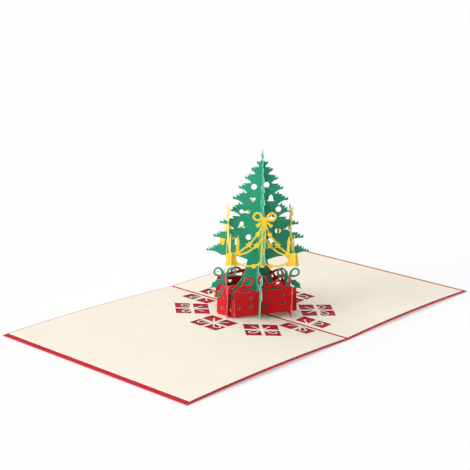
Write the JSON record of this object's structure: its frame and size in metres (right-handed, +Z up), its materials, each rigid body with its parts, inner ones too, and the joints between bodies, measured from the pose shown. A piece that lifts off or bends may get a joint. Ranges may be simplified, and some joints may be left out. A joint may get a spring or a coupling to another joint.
{
  "type": "pop up card",
  "caption": "Square greeting card laid open: arched leaves with cream pages carry a standing fir tree of slotted paper sheets with garlands and cut-out gifts, folding flat as it shuts.",
  "frame": {"origin": "middle of the open card, on the table under the spine", "axes": "+X across the open card from the front leaf to the back leaf, +Y along the spine, +Z up along the trunk of the tree"},
  "size_m": [0.3, 0.15, 0.1096],
  "materials": {
    "red_cover": "matte",
    "cream_page": "matte",
    "green_sheet": "matte",
    "gold_sheet": "satin",
    "red_sheet": "matte"
  },
  "bodies": {
    "root": {"cover": "red_cover", "left_page": "cream_page", "right_page": "cream_page", "tree_broad": "green_sheet", "tree_deep": "green_sheet", "garland_front": "gold_sheet", "garland_back": "gold_sheet", "garland_left": "gold_sheet", "garland_right": "gold_sheet", "gifts_front": "red_sheet", "gifts_back": "red_sheet", "gifts_left": "red_sheet", "gifts_right": "red_sheet"}
  },
  "joints": []
}
